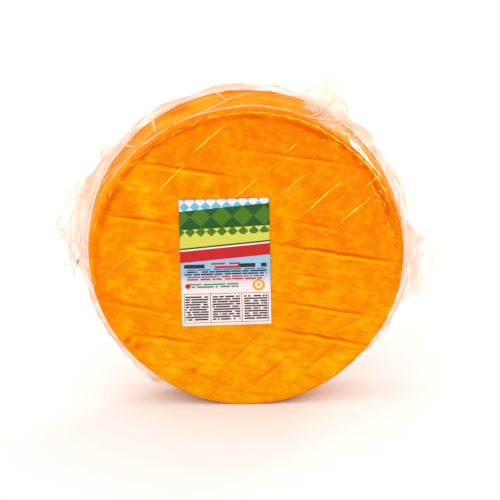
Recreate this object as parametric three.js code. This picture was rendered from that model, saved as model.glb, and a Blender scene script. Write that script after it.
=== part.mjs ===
// A whole wheel of orange-rinded cheese in a clear vacuum bag, with a paper label stuck on its front face.
// It stands on its edge. Millimetres, +Z up: the wheel's axis lies along Y and the labelled face looks to -Y.
// The origin is the middle of the flat foot on which the bagged wheel stands.
// Angles go round the wheel's axis in degrees, from +X towards +Z, as seen from the front.

import * as THREE from 'three';

// Wheel
const DIAMETER = 210;
const THICKNESS = 44;
const RIM_ROUNDING = 3;
const SIDE_BULGE = 1;
const FOOT_PRESS = 2.3;
const OUT_OF_ROUND = [
  { waves: 2, height: 0.45, crest: -72 },
  { waves: 3, height: 0.6, crest: 35 },
  { waves: 4, height: 0.5, crest: -1 },
];
const WHEEL_SECTIONS = 96;
const FACE_RINGS = [30, 60, 84];
const CORNER_STEPS = 3;
const SIDE_STEPS = 4;

// Bag: the ring of film round the side, with the sealed flange and the corners that stand out from it
const SKIN_GAP = 0.3;
const FILM_THICKNESS = 0.8;
const LAP_OVER_FACE = 9;
const FLANGE_THICKNESS = 1.4;
const FLANGE_TAPER = 0.6;
const FLANGE_ROOT_REACH = 3.2;
const FLANGE_ROOT_Y = 12;
const FLANGE_REACH = 7;
const FLANGE_LEAN = 0.3;
const FLANGE_STEPS = 4;
const FLANGE_COMES_FORWARD = { at: 232, spread: 40, by: 9 };
const RIPPLE = { share: 0.1, waves: 36, twist: 1.7 };
const BAG_SECTIONS = 150;

// Where the film reaches further out than the flange: base angle, half width of the base, how far the tip is
// from the wheel's axis, and the tip's own angle, which differs from the base's where the film hangs or leans
const BAG_CORNERS = [
  { name: 'upper right corner', at: 61, spread: 10, reach: 149, tip: 62 },
  { name: 'upper right tuft', at: 43, spread: 5, reach: 115, tip: 43 },
  { name: 'upper left tuft', at: 145, spread: 4, reach: 121, tip: 145 },
  { name: 'left corner', at: 165, spread: 14, reach: 145, tip: 178 },
  { name: 'left flap', at: 170, spread: 24, reach: 124, tip: 172 },
  { name: 'left hanging fold', at: 178, spread: 8, reach: 121, tip: 193 },
  { name: 'lower left spread', at: 233, spread: 30, reach: 117, tip: 236 },
  { name: 'lower right crumple', at: -34, spread: 26, reach: 118, tip: -34 },
  { name: 'right corner', at: -9, spread: 15, reach: 166, tip: -16 },
];

// Label
const LABEL_WIDTH = 60;
const LABEL_HEIGHT = 90;
const LABEL_THICKNESS = 0.5;
const LABEL_CORNER = 1.5;
const LABEL_SIDEWAYS = -14.4;
const LABEL_ABOVE_AXIS = -1.9;
const LABEL_TURN = 1.2;

const RADIUS = DIAMETER / 2;
const HALF_THICKNESS = THICKNESS / 2;
const SIDE_END = HALF_THICKNESS - RIM_ROUNDING;
const WHEEL_FOOT_LEVEL = SKIN_GAP + FILM_THICKNESS;
const AXIS_HEIGHT = RADIUS + outOfRound(-90) - FOOT_PRESS + WHEEL_FOOT_LEVEL;

function radians(degrees) {
  return THREE.MathUtils.degToRad(degrees);
}

// How far the wheel's edge stands outside a true circle at an angle
function outOfRound(angle) {
  let sum = 0;
  for (const { waves, height, crest } of OUT_OF_ROUND) {
    sum += height * Math.cos(radians(waves * (angle - crest)));
  }
  return sum;
}

// A smooth hill, 1 at its middle and 0 from its half width outwards, across the seam at 360 degrees too
function hill(angle, at, spread) {
  const away = Math.abs(THREE.MathUtils.euclideanModulo(angle - at + 180, 360) - 180) / spread;
  return away < 1 ? (1 - away) ** 1.4 : 0;
}

// A point at an angle and a distance from the axis, kept at or above a level by sliding it in along its radius
function place(angle, distance, y, level) {
  const fall = -Math.sin(radians(angle));
  const most = fall > 0 ? (AXIS_HEIGHT - level) / fall : Infinity;
  const r = Math.min(distance, most);
  return new THREE.Vector3(r * Math.cos(radians(angle)), y, AXIS_HEIGHT + r * Math.sin(radians(angle)));
}

// One rounded rim of the wheel's section, grown outwards, from the face to the side
function rimArc(grow, side) {
  const points = [];
  for (let k = 0; k <= CORNER_STEPS; k += 1) {
    const turn = (Math.PI / 2) * (k / CORNER_STEPS);
    const r = RADIUS - RIM_ROUNDING + (RIM_ROUNDING + grow) * Math.sin(turn);
    points.push({ r, y: side * (SIDE_END + (RIM_ROUNDING + grow) * Math.cos(turn)) });
  }
  return points;
}

// The side between the two rims, swelling a little in its middle
function sideOutline(grow) {
  const points = [];
  for (let k = 1; k < SIDE_STEPS; k += 1) {
    const y = SIDE_END * ((2 * k) / SIDE_STEPS - 1);
    points.push({ r: RADIUS + grow + SIDE_BULGE * (1 - (y / SIDE_END) ** 2), y });
  }
  return points;
}

// Rims and side in one run from the front face to the back face
function edgeOutline(grow) {
  return [...rimArc(grow, -1), ...sideOutline(grow), ...rimArc(grow, 1).reverse()];
}

// A section's points set at an angle round the axis, each following the wheel where it is out of round
function placeOutline(outline, angle, level) {
  return outline.map(({ r, y }) => place(angle, r + (outOfRound(angle) * r) / RADIUS, y, level));
}

// Triangles between neighbouring sections. Rows listed in `flipped` are split along their other diagonal.
function stripTriangles(sections, rows, wrapRows, flipped = () => false) {
  const index = [];
  const count = wrapRows ? rows : rows - 1;
  for (let i = 0; i < sections; i += 1) {
    const here = i * rows;
    const next = ((i + 1) % sections) * rows;
    for (let j = 0; j < count; j += 1) {
      const a = here + j;
      const b = here + ((j + 1) % rows);
      const c = next + ((j + 1) % rows);
      const d = next + j;
      index.push(...(flipped(j) ? [a, b, d, b, c, d] : [a, b, c, a, c, d]));
    }
  }
  return index;
}

// A closed mesh from points and triangles, turned right side out
function closedGeometry(points, index) {
  let volume = 0;
  for (let t = 0; t < index.length; t += 3) {
    const [a, b, c] = [points[index[t]], points[index[t + 1]], points[index[t + 2]]];
    volume += a.dot(new THREE.Vector3().crossVectors(b, c));
  }
  const outward = volume > 0 ? index : index.toReversed();
  const geometry = new THREE.BufferGeometry().setFromPoints(points);
  geometry.setIndex(outward);
  geometry.computeVertexNormals();
  return geometry;
}

// The wheel: rings on both faces, rounded rims and side, closed by one point in the middle of each face
function wheelGeometry() {
  const frontRings = FACE_RINGS.map((r) => ({ r, y: -HALF_THICKNESS }));
  const backRings = FACE_RINGS.toReversed().map((r) => ({ r, y: HALF_THICKNESS }));
  const outline = [...frontRings, ...edgeOutline(0), ...backRings];
  const points = [];
  for (let i = 0; i < WHEEL_SECTIONS; i += 1) {
    points.push(...placeOutline(outline, (360 * i) / WHEEL_SECTIONS, WHEEL_FOOT_LEVEL));
  }
  const rows = outline.length;
  const index = stripTriangles(WHEEL_SECTIONS, rows, false);
  const frontPole = points.length;
  const backPole = frontPole + 1;
  points.push(new THREE.Vector3(0, -HALF_THICKNESS, AXIS_HEIGHT));
  points.push(new THREE.Vector3(0, HALF_THICKNESS, AXIS_HEIGHT));
  for (let i = 0; i < WHEEL_SECTIONS; i += 1) {
    const here = i * rows;
    const next = ((i + 1) % WHEEL_SECTIONS) * rows;
    index.push(frontPole, here, next);
    index.push(backPole, next + rows - 1, here + rows - 1);
  }
  return closedGeometry(points, index);
}

// The outer end of the flange at an angle, out to the tip of a bag corner where there is one
function flangeTip(angle) {
  let reach = RADIUS + FLANGE_REACH;
  let swing = 0;
  for (const corner of BAG_CORNERS) {
    const share = hill(angle, corner.at, corner.spread);
    reach = Math.max(reach, RADIUS + FLANGE_REACH + (corner.reach - RADIUS - FLANGE_REACH) * share);
    swing += (corner.tip - corner.at) * share;
  }
  return place(angle + swing, reach, 0, 0);
}

// Both sides of the flange at an angle: a thin rippled blade that leans back as it leaves the wheel's side
function flangeSides(angle) {
  const forward = FLANGE_COMES_FORWARD;
  const rootY = FLANGE_ROOT_Y - forward.by * hill(angle, forward.at, forward.spread);
  const root = place(angle, RADIUS + outOfRound(angle) + FLANGE_ROOT_REACH, 0, 0);
  const tip = flangeTip(angle);
  const front = [];
  const back = [];
  for (let k = 0; k <= FLANGE_STEPS; k += 1) {
    const share = k / FLANGE_STEPS;
    const middle = root.clone().lerp(tip, share);
    const away = middle.distanceTo(root);
    const wave = Math.sin(radians(RIPPLE.waves * angle) + RIPPLE.twist * share);
    middle.y = rootY + away * (FLANGE_LEAN + RIPPLE.share * wave);
    const half = (FLANGE_THICKNESS / 2) * (1 - FLANGE_TAPER * share);
    front.push(new THREE.Vector3(middle.x, middle.y - half, middle.z));
    back.push(new THREE.Vector3(middle.x, middle.y + half, middle.z));
  }
  return { front, back: back.reverse() };
}

// The bag: one closed ring of film, tight under the rims, tented from the front rim to the flange
function bagGeometry() {
  const inside = edgeOutline(SKIN_GAP);
  const outerGrow = SKIN_GAP + FILM_THICKNESS;
  const frontRim = rimArc(outerGrow, -1);
  const backRim = rimArc(outerGrow, 1).reverse();
  const lap = RADIUS - LAP_OVER_FACE;
  const loopAt = (angle) => {
    const { front, back } = flangeSides(angle);
    return [
      ...placeOutline([{ r: lap, y: -HALF_THICKNESS - outerGrow }, ...frontRim], angle, 0),
      ...front,
      ...back,
      ...placeOutline([...backRim, { r: lap, y: HALF_THICKNESS + outerGrow }], angle, 0),
      ...placeOutline([{ r: lap, y: HALF_THICKNESS + SKIN_GAP }], angle, FILM_THICKNESS),
      ...placeOutline(inside.toReversed(), angle, FILM_THICKNESS),
      ...placeOutline([{ r: lap, y: -HALF_THICKNESS - SKIN_GAP }], angle, FILM_THICKNESS),
    ];
  };
  const points = [];
  for (let i = 0; i < BAG_SECTIONS; i += 1) {
    points.push(...loopAt((360 * i) / BAG_SECTIONS));
  }
  const rows = points.length / BAG_SECTIONS;
  const flangeBackStart = 1 + frontRim.length + FLANGE_STEPS + 1;
  const onFlangeBack = (j) => j >= flangeBackStart && j < flangeBackStart + FLANGE_STEPS;
  return closedGeometry(points, stripTriangles(BAG_SECTIONS, rows, true, onFlangeBack));
}

// The label: a thin sheet with slightly rounded corners, drawn flat and then stood up against the front face
function labelGeometry() {
  const halfWidth = LABEL_WIDTH / 2;
  const halfHeight = LABEL_HEIGHT / 2;
  const outline = new THREE.Shape();
  outline.moveTo(-halfWidth + LABEL_CORNER, -halfHeight);
  outline.lineTo(halfWidth - LABEL_CORNER, -halfHeight);
  outline.quadraticCurveTo(halfWidth, -halfHeight, halfWidth, -halfHeight + LABEL_CORNER);
  outline.lineTo(halfWidth, halfHeight - LABEL_CORNER);
  outline.quadraticCurveTo(halfWidth, halfHeight, halfWidth - LABEL_CORNER, halfHeight);
  outline.lineTo(-halfWidth + LABEL_CORNER, halfHeight);
  outline.quadraticCurveTo(-halfWidth, halfHeight, -halfWidth, halfHeight - LABEL_CORNER);
  outline.lineTo(-halfWidth, -halfHeight + LABEL_CORNER);
  outline.quadraticCurveTo(-halfWidth, -halfHeight, -halfWidth + LABEL_CORNER, -halfHeight);
  return new THREE.ExtrudeGeometry(outline, { depth: LABEL_THICKNESS, bevelEnabled: false, curveSegments: 4 });
}

function piece(name, geometry, material) {
  const mesh = new THREE.Mesh(geometry, material);
  mesh.name = name;
  return mesh;
}

const rind = new THREE.MeshStandardMaterial({ color: 0xf8980c, roughness: 0.5, metalness: 0 });
const film = new THREE.MeshStandardMaterial({
  color: 0xf6e9e2,
  roughness: 0.12,
  metalness: 0,
  transparent: true,
  opacity: 0.35,
});
const paper = new THREE.MeshStandardMaterial({ color: 0xe9eef0, roughness: 0.35, metalness: 0 });

const label = piece('label', labelGeometry(), paper);
label.position.set(LABEL_SIDEWAYS, -HALF_THICKNESS - SKIN_GAP, AXIS_HEIGHT + LABEL_ABOVE_AXIS);
label.rotation.set(Math.PI / 2, 0, radians(LABEL_TURN));

const baggedCheese = new THREE.Group();
baggedCheese.add(piece('cheese_wheel', wheelGeometry(), rind));
baggedCheese.add(piece('vacuum_bag', bagGeometry(), film));
baggedCheese.add(label);

export default baggedCheese;
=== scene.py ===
import math
from functools import partial

import bpy
import numpy as np
from bpy.props import FloatProperty, FloatVectorProperty, IntProperty, PointerProperty
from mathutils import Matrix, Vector


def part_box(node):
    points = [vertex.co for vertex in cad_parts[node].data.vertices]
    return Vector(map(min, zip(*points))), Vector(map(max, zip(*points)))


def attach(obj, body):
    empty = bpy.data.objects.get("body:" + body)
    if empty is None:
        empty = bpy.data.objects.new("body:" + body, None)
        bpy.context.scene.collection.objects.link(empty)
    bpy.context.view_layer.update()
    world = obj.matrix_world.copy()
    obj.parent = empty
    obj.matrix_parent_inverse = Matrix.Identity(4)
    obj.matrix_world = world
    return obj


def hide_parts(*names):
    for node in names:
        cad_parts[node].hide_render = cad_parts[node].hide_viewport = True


bl_info = {
    "name": "Bagged cheese wheel",
    "version": (1, 0, 0),
    "blender": (4, 5, 0),
    "location": "3D View > Sidebar > Cheese wheel",
    "description": "A whole orange-rinded cheese on its edge in a clear vacuum bag, with a paper label",
    "category": "Add Mesh",
}

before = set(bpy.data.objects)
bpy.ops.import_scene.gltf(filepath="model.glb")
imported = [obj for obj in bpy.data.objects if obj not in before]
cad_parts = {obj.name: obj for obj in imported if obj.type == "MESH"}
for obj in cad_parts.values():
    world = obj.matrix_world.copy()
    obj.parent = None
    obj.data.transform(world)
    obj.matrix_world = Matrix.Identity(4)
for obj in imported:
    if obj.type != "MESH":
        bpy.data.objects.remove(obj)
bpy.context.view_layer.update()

MM = 0.001

# The wheel's place in the frame: its axis lies along Y and its front face looks towards -Y.
# Angles go round that axis in degrees, from +X towards +Z, as seen from the front.
WHEEL_LOW, WHEEL_HIGH = (Vector(corner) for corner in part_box("cheese_wheel"))
LABEL_LOW, LABEL_HIGH = (Vector(corner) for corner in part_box("label"))
FOOT_LEVEL = WHEEL_LOW.z
# The solid bag is thicker than film is, so the rind comes nearer to the floor than the solid wheel does
FILM_UNDER_FOOT = 0.35 * MM
RADIUS = 105 * MM
HALF_THICKNESS = (WHEEL_HIGH.y - WHEEL_LOW.y) / 2
# Heights between which the unevenness of rind and film sets in above the foot
FOOT_FADE = (2 * MM, 14 * MM)
# Steps of the rind's section round a rim and across the side
RIM_STEPS, SIDE_STEPS = 8, 23
# Rows of film over a face, round its rim, over the side and over each sheet of the flange
FACE_ROWS, RIM_ROWS, SIDE_ROWS, FLANGE_ROWS = 15, 6, 21, 15
# Rows past the rim over which the film comes free of the rind
FREEING_ROWS = 3
# A fold's facets round its section, and the radius of its ends as a share of its middle's
FOLD_FACETS = 10
FOLD_END = 0.12
# Seeds of the rind's hills, small hills and pores, the label's ripples and the ragged patches of slack film
HILLS_SEED, SMALL_HILLS_SEED, PORES_SEED, RIPPLES_SEED, PATCHES_SEED = 11, 12, 13, 21, 41

# Ways across a face in which the rind's look changes
UPPER_RIGHT = (0.64, 0, 0.77)
UPPER_LEFT = (-0.6, 0, 0.8)
# How far the edge stands outside a true circle: waves round the wheel, height, and the angle of a crest
OUT_OF_ROUND = ((2, 0.45 * MM, -72), (3, 0.6 * MM, 35), (4, 0.5 * MM, -1))

# Lengths in the tables below are in millimetres, except for the softboxes

# What the wrapping pressed into a face: middle, length, turn in degrees, depth. First the folds of the
# cheesecloth, then the fainter wrinkles of the film.
CREASES = (
    (-38, 64, 76, -9.9, 0.45),
    (-72, 30, 54, -9.0, 0.40),
    (36, 72, 88, -9.3, 0.30),
    (60, 4, 92, -10.2, 0.60),
    (-62, 7, 34, -8.2, 0.35),
    (55, -36, 80, -10.9, 0.40),
    (-53, -56, 56, -8.4, 0.40),
    (50, -56, 72, -11.6, 0.50),
    (-72, -33, 60, -12.8, 0.25),
    (42, -12, 50, -9.3, 0.25),
    (46, 24, 40, -12.1, 0.28),
    (-5, -67, 38, 44.5, 0.22),
    (16, -80, 40, 38.6, 0.24),
    (47, -73, 38, 40.5, 0.22),
    (73, -45, 24, 28.0, 0.20),
    (56, -44, 26, 32.0, 0.20),
)
CREASE_WIDTH = 1.9 * MM
# Depth from which a crease has its full colour, a painted shade
FULL_CREASE = 0.5 * MM
# Half of how long a crease is in all, for each length over which it shows well
CREASE_END = 0.64
CLOTH_TURN = -9.6
WRINKLE_TURN = 41
# The cloth's threads lie aslant to its folds
THREAD_TURN = 15
# The broken line of painted shade that runs just inside the rim: how far it is from the axis, how far it
# strays, and half its width where it is deepest and where it ends
RIM_CREASE = 100 * MM
RIM_CREASE_STRAYS = 1.4 * MM
RIM_CREASE_CORE, RIM_CREASE_END = 0.3 * MM, 2.8 * MM
# The painted shade of dents beside it at the upper right: their distance from the axis, then for each the
# angle, the width and the colour's share
RIM_DENT_RADIUS = RIM_CREASE + 0.8 * MM
RIM_DENTS = (
    (73, 1.6, 0.7),
    (67, 2.1, 0.9),
    (61, 2.6, 1.0),
    (56, 2.2, 0.8),
    (50.5, 2.8, 1.0),
    (45, 3.0, 1.0),
    (39, 2.6, 1.0),
)
# Brown spots on a face: place and width
SPOTS = (
    (-80, -57, 8),
    (-36, -80, 8),
    (-74, -62, 7),
    (-95, 37, 8),
    (-91, 45, 7),
)

# Wrinkles of the film on the front face: middle, length, turn in degrees, radius
FACE_WRINKLES = (
    (-50, 58, 24, 45, 0.62),
    (-24, 86, 32, 41, 0.60),
    (0, 51, 24, 40, 0.42),
    (29, 78, 12, 44, 0.45),
    (31, 53, 20, 40, 0.45),
    (51, 44, 33, 43, 0.72),
    (72, 34, 29, 42, 0.66),
    (-86, -3, 40, 41, 0.18),
    (84, 55, 18, 43, 0.34),
)

# Folds of the film that run along a rim with gaps between them: angles of start and end, longest gap in
# degrees, radius, and how far inside the rim they stray. With a gap below 0 they lap over each other.
RIM_FOLDS = (
    (24, 84, -0.6, 0.60, 2.3),
    (84, 170, 5, 0.32, 4.2),
    (185, 250, 12, 0.20, 4.2),
    (-45, 5, 9, 0.22, 4.2),
)
RIM_FOLDS_START = RADIUS - 1.5 * MM
# Short tucks across those folds: angles from and to, how many
TUCKS = ((6, 30, 13), (30, 62, 5), (100, 160, 4))

# Corners of the bag: angle of the base, half its width, distance of the tip from the axis, angle of the tip
BAG_CORNERS = (
    (61, 10, 149, 62),
    (43, 5, 115, 43),
    (145, 4, 121, 145),
    (165, 14, 145, 178),
    (170, 24, 124, 172),
    (178, 8, 121, 193),
    (233, 30, 117, 236),
    (-34, 26, 118, -34),
    (-9, 15, 166, -16),
)
# Where the flange comes forward: angle, how far that goes each way, how far it comes
FLANGE_COMES_FORWARD = (232, 40, 9)
# How the flange is crumpled: size of the facets, their greatest height, and how fast that grows from the root
FLANGE_CRUMPLES = ((9, 2.6, 0.35), (3.5, 0.8, 0.12))
# Facets of the flange's outline and of the air in it, and the pleats and dents of the slack film over the side
TIP_FACETS, AIR_FACETS = 9 * MM, 6 * MM
PLEATS, DENTS = 7 * MM, 5 * MM
# Where the film over the side is slack: angle, and how far that goes each way
SLACK_PLACES = ((52, 34), (146, 26), (180, 30), (238, 34), (-20, 34))

# Folds of the film over the side: radius in the middle, then the angle and place of each point. The place
# runs from 0 at the front rim to 1 at the flange's root and 2 at its outer edge.
SIDE_FOLDS = (
    (0.80, (71, 0.05), (64, 0.15), (57, 0.62), (51, 1.05), (45, 1.30)),
    (0.60, (68, 0.72), (64.5, 0.60), (60, 1.05)),
    (0.40, (58, 0.30), (50, 0.75), (46, 0.95)),
    (0.80, (144.5, 1.95), (140.5, 1.10), (132.5, 0.05)),
    (0.60, (132.5, 0.05), (128, 0.03), (119, 0.02)),
    (0.45, (132.5, 0.05), (140, 0.03), (149, 0.02)),
    (1.10, (126, 1.30), (125, 0.90), (124.5, 0.15)),
    (0.60, (117, 0.02), (108, 0.06), (101.5, 0.20), (95.5, 0.55), (88.5, 0.75)),
    (0.60, (111, 0.02), (104, 0.03), (96, 0.02), (88.5, 0.15), (78, 0.03), (70.5, 0.10)),
    (0.55, (100.5, 1.20), (100, 0.90), (96.5, 0.45)),
    (0.50, (117, 0.02), (115.5, 0.35)),
    (0.35, (61.5, 1.95), (65.5, 1.75), (69, 1.45), (68, 0.72)),
    (0.50, (47, 1.80), (49, 1.30), (54, 0.95)),
    (0.80, (67, 0.15), (64, 0.35), (62, 0.75), (59.5, 1.15), (57, 1.50)),
    (0.60, (69, 1.00), (66, 0.50), (64, 0.30)),
    (0.35, (67, 1.30), (62, 1.70), (58, 1.95)),
    (0.35, (137, 1.90), (124, 1.95), (114, 1.85), (100, 1.90), (86, 1.95), (76, 1.80), (69, 1.45)),
    (0.55, (144, 1.35), (151, 1.75), (161, 1.40), (171, 1.80), (176, 1.95), (178, 1.98)),
    (0.40, (146, 1.25), (154, 1.30), (163, 1.20), (172, 1.60), (175, 1.90)),
    (0.35, (154, 0.50), (164, 0.90), (172, 1.05), (177, 1.40), (178, 1.90)),
    (0.40, (143, 1.30), (152, 1.25), (162, 0.80), (168, 0.50)),
    (0.50, (194, 1.70), (205, 1.90), (215, 1.95), (225, 1.95), (238, 1.95)),
    (0.40, (-30, 1.60), (-40, 1.80), (-52, 1.90)),
)
# Where the film over the side is gathered up and painted white as a highlight: angle, place, how far that goes
# each way, how much
GATHER_HIGHLIGHTS = (
    (61, 1.05, 9, 0.70, 1.0),
    (65, 0.70, 5, 0.45, 0.9),
    (59, 0.55, 8, 0.45, 0.75),
    (53, 0.35, 6, 0.25, 0.35),
    (171, 1.30, 9, 0.60, 0.35),
)
# Where the film over the side gets a painted glare, as if it stood square to the light: angle, place, how far
# that goes each way, and how brightly it shines
GLARES = (
    (46, 0.10, 5.5, 0.15, 0.95),
    (39, 0.03, 8, 0.08, 0.95),
)

# Softboxes: name, place and size in metres, what they face, power in watts
SOFTBOXES = (
    ("top_softbox", (-0.5, -0.3, 1.7), 1.4, (0, 0, 0.1), 6),
    ("front_softbox", (-1.0, -2.2, 1.2), 1.2, (0, 0, 0.1), 12),
    ("back_right_softbox", (0.75, 1.0, 0.55), 0.5, (0, 0, 0.12), 6),
)


def linear(hex_colour):
    """An sRGB hex colour as linear red, green, blue and a full alpha."""
    channels = [int(hex_colour[k : k + 2], 16) / 255 for k in (1, 3, 5)]
    return [c / 12.92 if c <= 0.04045 else ((c + 0.055) / 1.055) ** 2.4 for c in channels] + [1.0]


def length(name, description, default):
    return FloatProperty(name=name, description=description, default=default, unit="LENGTH", precision=5)


def turn(name, description, degrees):
    return FloatProperty(name=name, description=description, default=math.radians(degrees), subtype="ANGLE")


def colour(name, description, hex_colour):
    return FloatVectorProperty(
        name=name, description=description, default=linear(hex_colour), size=4, subtype="COLOR", min=0, max=1
    )


class WheelSettings(bpy.types.PropertyGroup):
    rim_rounding: length("Rim rounding", "Radius of the edge between a face and the side", 3 * MM)
    side_bulge: length("Side bulge", "How far the side swells in its middle", 1 * MM)
    foot_press: length("Foot press", "How far the lowest edge is pressed flat", 2.3 * MM)
    sections: IntProperty(name="Sections", description="Steps round the wheel", default=420)
    face_rings: IntProperty(name="Face rings", description="Rings of each face, out to the rim", default=76)
    thread_pitch: length("Thread pitch", "Spacing of the cheesecloth's threads in the rind", 1.4 * MM)
    unevenness: length("Unevenness", "Height of the rind's slow hills and hollows", 0.3 * MM)
    rind: colour("Rind", "The rind's main orange", "#EA9B00")
    # Also painted shade: at the rim and beside the film's wrinkles
    deep: colour("Deep rind", "The rind where it dried darker", "#E77500")
    # Also painted light: towards the bottom, on the creases' ridges, and as the film's sheen over the side
    pale: colour("Pale rind", "The rind where it stayed yellower", "#EDB300")
    # Painted shade in the creases, the rim's broken line and its dents; also the colour of the brown spots and
    # the weave's gaps
    crease: colour("Crease", "The rind at the bottom of a fold", "#DE5200")


class BagSettings(bpy.types.PropertyGroup):
    cling: length("Cling", "Distance of the film from the rind where it clings", 0.35 * MM)
    flange_reach: length("Flange reach", "How far the sealed flange stands out from the side", 7 * MM)
    root_reach: length("Root reach", "How far the flange's root stands out from the side", 3.2 * MM)
    root_y: length("Root place", "Where along the wheel's axis the flange starts", 12 * MM)
    lean: FloatProperty(name="Lean", description="How much the flange leans back as it goes out", default=0.3)
    sheet_gap: length("Sheet gap", "Half the air between the flange's two sheets", 0.3 * MM)
    gather: length("Gather", "Height of the gathers where the film over the side is slack", 1.5 * MM)
    sections: IntProperty(name="Sections", description="Steps round the wheel", default=840)
    seed: IntProperty(name="Seed", description="Draws the ripples and folds", default=4)
    # Painted light: out to this distance the film is tinted by the rind's orange light
    warm_reach: length("Warm reach", "How far outside the rind the film takes up its colour", 13 * MM)
    clear: colour("Clear", "What one sheet of film lets through", "#FFFEFE")
    # Painted light: this tint stands for the rind's orange light on the film near it
    warm: colour("Warm", "The same near the rind, whose colour the film takes up", "#FBE3D5")
    veil: colour("Veil", "Colour that slack film scatters", "#FFFCFB")
    # Painted highlight colours: white on folds off the rind, yellow on wrinkles over it
    fold: colour("Fold", "The same where it is folded", "#FDF3E2")
    glow: colour("Glow", "The same of a wrinkle on the rind", "#FFD23C")


class LabelSettings(bpy.types.PropertyGroup):
    width: length("Width", "Across the label", 60 * MM)
    height: length("Height", "Up the label", 90 * MM)
    thickness: length("Thickness", "Thickness of the label paper", 0.18 * MM)
    gap: length("Gap", "Least distance of the paper from the film under it", 0.06 * MM)
    ripple: length("Ripple", "Half the height of the paper's own ripples", 0.07 * MM)
    turn: turn("Turn", "Turn on the face", 1.2)
    white: colour("White", "Bare label paper", "#F1DEDA")
    sky: colour("Sky blue", "Printed sky blue", "#5EB6D6")
    pale_blue: colour("Pale blue", "Printed pale blue", "#94BCD8")
    forest: colour("Deep green", "Printed deep green", "#0B5210")
    leaf: colour("Leaf green", "Printed leaf green", "#437109")
    lime: colour("Yellow green", "Printed yellow green", "#CFCB4E")
    red: colour("Red", "Printed red", "#BE0E16")
    ink: colour("Ink", "Printed blue-black", "#1C2434")
    green_ink: colour("Green ink", "Printed green of the small rows", "#2E7A46")
    gold: colour("Gold", "Printed gold", "#DBA52A")


class StageSettings(bpy.types.PropertyGroup):
    camera_distance: length("Camera distance", "From the camera to the front face", 2.4)
    elevation: turn("Elevation", "Camera above level", 20.4)
    azimuth: turn("Azimuth", "Camera to the left of the wheel's axis", 1.8)
    view_width: length("View width", "What the picture's width covers at the front face", 334 * MM)
    aim_right: length("Aim right", "How far right of the face's middle the camera aims", 2.1 * MM)
    aim_up: length("Aim up", "How far above the face's middle the camera aims", 6.2 * MM)
    room: FloatProperty(name="Room light", description="Brightness of the white room", default=0.98)
    floor_reach: length("Floor reach", "Half the width of the floor", 8)
    paper: colour("Floor paper", "The white paper on the floor", "#F0EEEC")


def cos_deg(degrees):
    return np.cos(np.radians(degrees))


def sin_deg(degrees):
    return np.sin(np.radians(degrees))


def out_of_round(angle):
    """How far the wheel's edge stands outside a true circle at an angle."""
    return sum(height * cos_deg(waves * (angle - crest)) for waves, height, crest in OUT_OF_ROUND)


def axis_height(wheel):
    return RADIUS + out_of_round(-90) - wheel.foot_press + FOOT_LEVEL


def random_waves(points, size, seed, waves):
    """Phases, in whole waves, of plane waves about two sizes long and in random directions."""
    rng = np.random.default_rng(seed)
    directions = rng.normal(size=(waves, 3))
    directions *= (rng.uniform(0.7, 1.5, size=waves) / np.linalg.norm(directions, axis=1))[:, None]
    return points @ directions.T / (2 * size) + rng.uniform(0, 1, size=waves)


def waviness(points, size, seed):
    """Smooth hills about `size` across, mostly between -1 and 1, the same for the same seed."""
    return np.sin(2 * np.pi * random_waves(points, size, seed, 16)).sum(-1) / 4


def crumple(points, size, seed):
    """Flat facets about `size` across with sharp creases between them, from -1 to 1."""
    bent = points + 0.35 * size * np.sin(points[..., [2, 0, 1]] / size)
    return (1 - 4 * np.abs(random_waves(bent, size, seed, 4) % 1 - 0.5)).mean(-1) * 1.5


def hill(angle, at, spread):
    """1 at an angle and 0 from `spread` degrees away, as in a bag corner's outline."""
    away = np.abs((angle - at + 180) % 360 - 180) / spread
    return np.clip(1 - away, 0, 1) ** 1.4


def smooth_step(x, low, high):
    t = np.clip((x - low) / (high - low), 0, 1)
    return t * t * (3 - 2 * t)


def unevenness(points, wheel):
    """Slow hills and hollows, which rind, film and label share. They fade out at the foot."""
    slow = waviness(points, 38 * MM, HILLS_SEED)
    middling = waviness(points, 16 * MM, SMALL_HILLS_SEED)
    return wheel.unevenness * (0.7 * slow + 0.3 * middling) * smooth_step(points[..., 2], *FOOT_FADE)


def add_node(tree, kind, inputs=(), operation=None, output=0, **settings):
    """Adds a node with its settings and gives one of its outputs, or all of them for None.

    `kind` leaves out the word ShaderNode. `inputs` holds the value of each input or the output that feeds it,
    in order or by socket.
    """
    node = tree.nodes.new(kind if kind.startswith(("GeometryNode", "NodeGroup")) else "ShaderNode" + kind)
    if operation:
        settings["operation"] = operation
    for name, value in settings.items():
        setattr(node, name, value)
    for socket, value in inputs.items() if isinstance(inputs, dict) else enumerate(inputs):
        if isinstance(value, bpy.types.NodeSocket):
            tree.links.new(value, node.inputs[socket])
        else:
            node.inputs[socket].default_value = value
    return node.outputs if output is None else node.outputs[output]


def new_material(name):
    """A material without nodes, and the function that adds them."""
    material = bpy.data.materials.new(name)
    material.use_nodes = True
    material.node_tree.nodes.clear()
    return material, partial(add_node, material.node_tree)


def link_object(name, data):
    piece = bpy.data.objects.new(name, data)
    bpy.context.scene.collection.objects.link(piece)
    return piece


def get_array(items, key, width, kind=float):
    """One property of every vertex, corner or triangle of a mesh, as an array."""
    values = np.empty(len(items) * width, dtype=kind)
    items.foreach_get(key, values)
    return values.reshape(-1, width) if width > 1 else values


def finish_mesh(mesh, material):
    """Smooth, right side out, with one material."""
    mesh.calc_loop_triangles()
    points = get_array(mesh.vertices, "co", 3)
    a, b, c = points[get_array(mesh.loop_triangles, "vertices", 3, int)].transpose(1, 0, 2)
    if np.einsum("ij,ij->", a, np.cross(b, c)) < 0:
        mesh.flip_normals()
    mesh.shade_smooth()
    mesh.materials.clear()
    mesh.materials.append(material)


def set_attributes(mesh, **arrays):
    """Gives every point of a mesh a number under each name."""
    for name, values in arrays.items():
        attribute = mesh.attributes.new(name, "FLOAT", "POINT")
        attribute.data.foreach_set("value", np.asarray(values, dtype=np.float32).ravel())


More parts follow.
